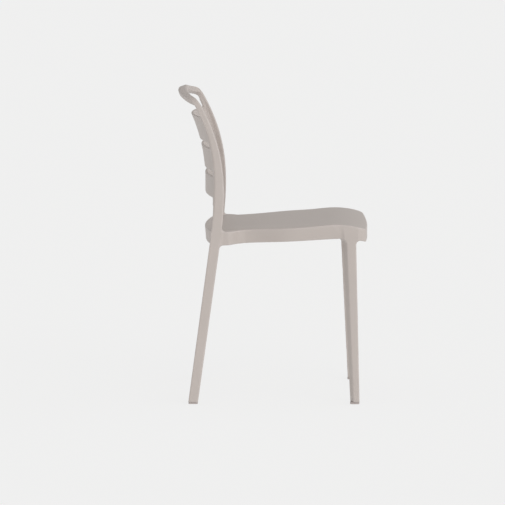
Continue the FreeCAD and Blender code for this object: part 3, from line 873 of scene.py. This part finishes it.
def glide_solid(low, high):
    """Foot glide: a bevelled sole with a shallow ring on its underside, and a stem."""
    foot = (low + high) / 2
    half_x = (high.x - low.x) / 2
    half_y = (high.y - low.y) / 2

    def solid(x, y, z):
        u = np.abs(x - foot.x) - half_x
        v = np.abs(y - foot.y) - half_y
        sole = round_common(u, v, GLIDE_CORNER)
        sole = round_common(sole, np.abs(z - GLIDE_HEIGHT / 2) - GLIDE_HEIGHT / 2, GLIDE_BEVEL)
        around = np.hypot(x - foot.x, y - foot.y)
        groove = np.hypot(around - GLIDE_RING_RADIUS, z) - GLIDE_GROOVE_RADIUS
        sole = np.maximum(sole, -groove)
        upright = np.abs(z - high.z / 2) - high.z / 2
        stem = round_common(around - GLIDE_STEM_RADIUS, upright, GLIDE_STEM_EDGE)
        stem = np.maximum(stem, GLIDE_HEIGHT / 2 - z)
        return round_union(sole, stem, GLIDE_STEM_EDGE)

    return solid


def mirrored_copy(piece, node):
    """The same piece on the sitter's right."""
    name = node + "_skin"
    mesh = piece.data
    normals = np.empty(len(mesh.loops) * 3, np.float32)
    mesh.corner_normals.foreach_get("vector", normals)
    normals = normals.reshape(-1, 3) * (1, -1, 1)
    faces = [list(polygon.vertices) for polygon in mesh.polygons]
    starts = [polygon.loop_start for polygon in mesh.polygons]
    points = np.empty(len(mesh.vertices) * 3, np.float32)
    mesh.vertices.foreach_get("co", points)
    crests = np.empty(len(mesh.vertices), np.float32)
    mesh.attributes["crest"].data.foreach_get("value", crests)
    order = [start + k for start, face in zip(starts, faces) for k in reversed(range(len(face)))]
    other = bpy.data.meshes.new(name)
    other.from_pydata((points.reshape(-1, 3) * (1, -1, 1)).tolist(), [],
                      [face[::-1] for face in faces])
    other.attributes.new("crest", "FLOAT", "POINT").data.foreach_set("value", crests)
    other.normals_split_custom_set(normals[order].tolist())
    copy = bpy.data.objects.new(name, other)
    bpy.context.scene.collection.objects.link(copy)
    return copy


def glide_pair(place):
    """A foot glide on the sitter's left and its mirrored twin on the right."""
    name = place + "_foot_glide"
    low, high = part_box("left_" + name)
    around = Vector((GLIDE_MARGIN,) * 3)
    left = skinned_object("left_" + name, glide_solid(low, high), low - around, high + around,
                          GLIDE_CELL)
    return ("left_", left), ("right_", mirrored_copy(left, "right_" + name))


# ---- materials ------------------------------------------------------------------------------
class Nodes:
    """Short way to add and join shader nodes."""

    def __init__(self, name):
        self.material = bpy.data.materials.new(name)
        self.material.use_nodes = True
        self.tree = self.material.node_tree
        self.shader = self.tree.nodes["Principled BSDF"]
        self.place = self.add("ShaderNodeTexCoord").outputs["Object"]

    def add(self, kind, **settings):
        node = self.tree.nodes.new(kind)
        for key, value in settings.items():
            setattr(node, key, value)
        return node

    def join(self, source, target):
        self.tree.links.new(source, target)

    def noise(self, scale, detail=3.0, roughness=0.5, stretch=None):
        source = self.place
        if stretch:
            mapping = self.add("ShaderNodeMapping")
            mapping.inputs["Scale"].default_value = stretch
            self.join(source, mapping.inputs["Vector"])
            source = mapping.outputs["Vector"]
        node = self.add("ShaderNodeTexNoise")
        node.inputs["Scale"].default_value = scale
        node.inputs["Detail"].default_value = detail
        node.inputs["Roughness"].default_value = roughness
        self.join(source, node.inputs["Vector"])
        return node.outputs["Fac"]

    def ramp(self, source, low, high, from_low=0.3, from_high=0.7):
        node = self.add("ShaderNodeMapRange", clamp=True)
        for socket, value in zip(("From Min", "From Max", "To Min", "To Max"),
                                 (from_low, from_high, low, high)):
            node.inputs[socket].default_value = value
        self.join(source, node.inputs["Value"])
        return node.outputs["Result"]

    def math(self, operation, a, b):
        node = self.add("ShaderNodeMath", operation=operation)
        for socket, value in zip(node.inputs, (a, b)):
            if isinstance(value, (int, float)):
                socket.default_value = value
            else:
                self.join(value, socket)
        return node.outputs["Value"]

    def mix(self, factor, a, b, blend="MIX"):
        node = self.add("ShaderNodeMix", data_type="RGBA", blend_type=blend)
        for socket, value in ((node.inputs["Factor"], factor), (node.inputs["A"], a),
                              (node.inputs["B"], b)):
            if isinstance(value, bpy.types.NodeSocket):
                self.join(value, socket)
            elif isinstance(value, tuple):
                socket.default_value = (*value, 1.0)
            else:
                socket.default_value = value
        return node.outputs["Result"]

    def bump(self, heights):
        """Bump from (height, depth in metres) layers, coarse to fine."""
        normal = None
        for height, depth in heights:
            node = self.add("ShaderNodeBump")
            node.inputs["Distance"].default_value = depth
            node.inputs["Strength"].default_value = 1.0
            self.join(height, node.inputs["Height"])
            if normal is not None:
                self.join(normal, node.inputs["Normal"])
            normal = node.outputs["Normal"]
        self.join(normal, self.shader.inputs["Normal"])


def moulded_plastic(name, colour, worn, deep):
    """Spark-textured moulded plastic: fine grain, soft flow streaks, polished edges, and painted
    shade in concave creases (the deep tone).

    The scales of the noises are in waves to the metre.
    """
    n = Nodes(name)
    cloud = n.noise(9.0, 2.0)
    streak = n.noise(22.0, 4.0, 0.55, (1.0, 0.35, 2.2))
    grain = n.noise(1400.0, 2.0, 0.6)
    pits = n.noise(420.0, 3.0, 0.6)
    fleck = n.ramp(n.noise(900.0, 1.0), 0.0, 1.0, 0.66, 0.74)
    edge = n.add("ShaderNodeAttribute", attribute_name="crest").outputs["Fac"]
    crested = n.ramp(edge, 0.0, 1.0, 0.25, 0.9)
    # hollow: concave creases and fillets, where shade is painted in
    hollow = n.ramp(edge, 1.0, 0.0, -0.9, -0.2)
    rub = n.math("MULTIPLY", crested, n.ramp(n.noise(60.0, 4.0, 0.65), 0.15, 1.0))
    tone = n.mix(n.ramp(cloud, 0.0, 1.0), tuple(c * 0.975 for c in colour),
                 tuple(min(1, c * t) for c, t in zip(colour, (1.02, 1.018, 1.024))))
    tone = n.mix(n.ramp(streak, 0.0, 0.35), tone, tuple(c * 1.03 for c in colour))
    tone = n.mix(n.math("MULTIPLY", fleck, 0.25), tone, tuple(c * 1.16 for c in colour))
    tone = n.mix(n.math("MULTIPLY", rub, 0.55), tone, worn)
    # painted shade: concave creases and fillets are darkened towards the deep tone
    tone = n.mix(n.math("MULTIPLY", hollow, 0.35), tone, deep)
    n.join(tone, n.shader.inputs["Base Color"])
    pitted = n.ramp(pits, PLASTIC_ROUGHNESS - 0.05, PLASTIC_ROUGHNESS + 0.06)
    roughness = n.math("ADD", pitted, n.ramp(cloud, -0.03, 0.03))
    roughness = n.math("SUBTRACT", roughness, n.math("MULTIPLY", rub, PLASTIC_GLOSS))
    n.join(roughness, n.shader.inputs["Roughness"])
    n.bump([(streak, STREAK_DEPTH), (pits, PIT_DEPTH), (grain, GRAIN_DEPTH)])
    n.shader.inputs["Specular IOR Level"].default_value = PLASTIC_SPECULAR
    return n.material


def dull_plastic(name, colour):
    """Dull plastic with fine grain and dusty scuffs."""
    n = Nodes(name)
    dust = n.noise(160.0, 4.0, 0.6)
    grain = n.noise(2200.0, 2.0)
    tone = n.mix(n.ramp(dust, 0.0, 0.5), tuple(c * 0.93 for c in colour),
                 tuple(c * 1.18 for c in colour))
    n.join(tone, n.shader.inputs["Base Color"])
    n.join(n.ramp(dust, 0.62, 0.82), n.shader.inputs["Roughness"])
    n.bump([(dust, SCUFF_DEPTH), (grain, GLIDE_GRAIN_DEPTH)])
    n.shader.inputs["Specular IOR Level"].default_value = GLIDE_SPECULAR
    return n.material


# ---- stage ----------------------------------------------------------------------------------
def build_floor():
    """Wide pale floor; most of its brightness is its own, so that shadows stay faint."""
    mesh = bpy.data.meshes.new("floor")
    corners = [(FLOOR_HALF * i, FLOOR_HALF * j, 0) for i, j in ((-1, -1), (1, -1), (1, 1), (-1, 1))]
    mesh.from_pydata(corners, [], [(0, 1, 2, 3)])
    floor = bpy.data.objects.new("floor", mesh)
    bpy.context.scene.collection.objects.link(floor)
    n = Nodes("pale_floor")
    n.shader.inputs["Base Color"].default_value = (*[FLOOR_GREY] * 3, 1.0)
    n.shader.inputs["Roughness"].default_value = 0.9
    n.shader.inputs["Specular IOR Level"].default_value = 0.0
    n.shader.inputs["Emission Color"].default_value = STUDIO_WHITE
    n.shader.inputs["Emission Strength"].default_value = FLOOR_GLOW
    mesh.materials.append(n.material)


def towards(azimuth, elevation):
    """Direction of an azimuth (0 at -Y, 90 at +X) and an elevation, in degrees."""
    a, e = math.radians(azimuth), math.radians(elevation)
    return Vector((math.sin(a) * math.cos(e), -math.cos(a) * math.cos(e), math.sin(e)))


def add_sun(name, azimuth, elevation, strength, spread):
    """Soft sun that shines from an azimuth and elevation."""
    light = bpy.data.lights.new(name, "SUN")
    light.energy = strength
    light.angle = math.radians(spread)
    lamp = bpy.data.objects.new(name, light)
    lamp.rotation_euler = towards(azimuth, elevation).to_track_quat("Z", "Y").to_euler()
    bpy.context.scene.collection.objects.link(lamp)


def build_camera():
    """Long lens that looks at the chair's side from a little above."""
    data = bpy.data.cameras.new("camera")
    data.lens = CAMERA_LENS
    data.sensor_width = 36.0
    data.clip_start, data.clip_end = 0.5, 300.0
    camera = bpy.data.objects.new("camera", data)
    camera.location = CAMERA_PLACE
    back = towards(CAMERA_AZIMUTH, CAMERA_ELEVATION)
    camera.rotation_euler = back.to_track_quat("Z", "Y").to_euler()
    bpy.context.scene.collection.objects.link(camera)
    bpy.context.scene.camera = camera


def build_stage():
    """World, floor, lights and camera."""
    world = bpy.data.worlds.new("studio")
    bpy.context.scene.world = world
    world.use_nodes = True
    background = world.node_tree.nodes["Background"]
    background.inputs["Color"].default_value = STUDIO_WHITE
    background.inputs["Strength"].default_value = SKY
    build_floor()
    for light in LIGHTS:
        add_sun(*light)
    build_camera()
    bpy.context.scene.view_settings.view_transform = "Standard"


# ---- the chair ------------------------------------------------------------------------------
def dress(piece, material, slot, *nodes):
    """Give a piece its material, tie it to the body and hide the frame's nodes that it stands for;
    slot is not used.
    """
    piece.data.materials.append(material)
    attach(piece, "root")
    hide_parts(*nodes)


def build_ribs():
    """Skin of the ribs, inside the seat's box and a margin."""
    margin = Vector((RIB_MARGIN,) * 3)
    low = Vector((SEAT_LOW.x, -SEAT_HIGH.y, SKIRT_LOW.z)) - margin
    return skinned_object("seat_ribs", ribs_solid, low, SEAT_HIGH + margin, RIB_CELL)


def build_chair():
    """Every piece of the chair, with its material."""
    plastic = moulded_plastic("taupe_moulding", PLASTIC, PLASTIC_WORN, PLASTIC_CREASE_SHADE)
    glide_plastic = dull_plastic("glide_plastic", GLIDE_COLOUR)
    stands_for = {"seat_shell": SEAT_SHELL_NODES, "seat_ribs": ("under_seat_ribs",)}
    pieces = moulding_pieces()
    pieces["seat_ribs"] = build_ribs()
    for name, piece in pieces.items():
        dress(piece, plastic, "moulding", *stands_for.get(name, (name,)))
    for place in ("front", "rear"):
        for side, piece in glide_pair(place):
            dress(piece, glide_plastic, "glide", side + place + "_foot_glide")


build_chair()
build_stage()
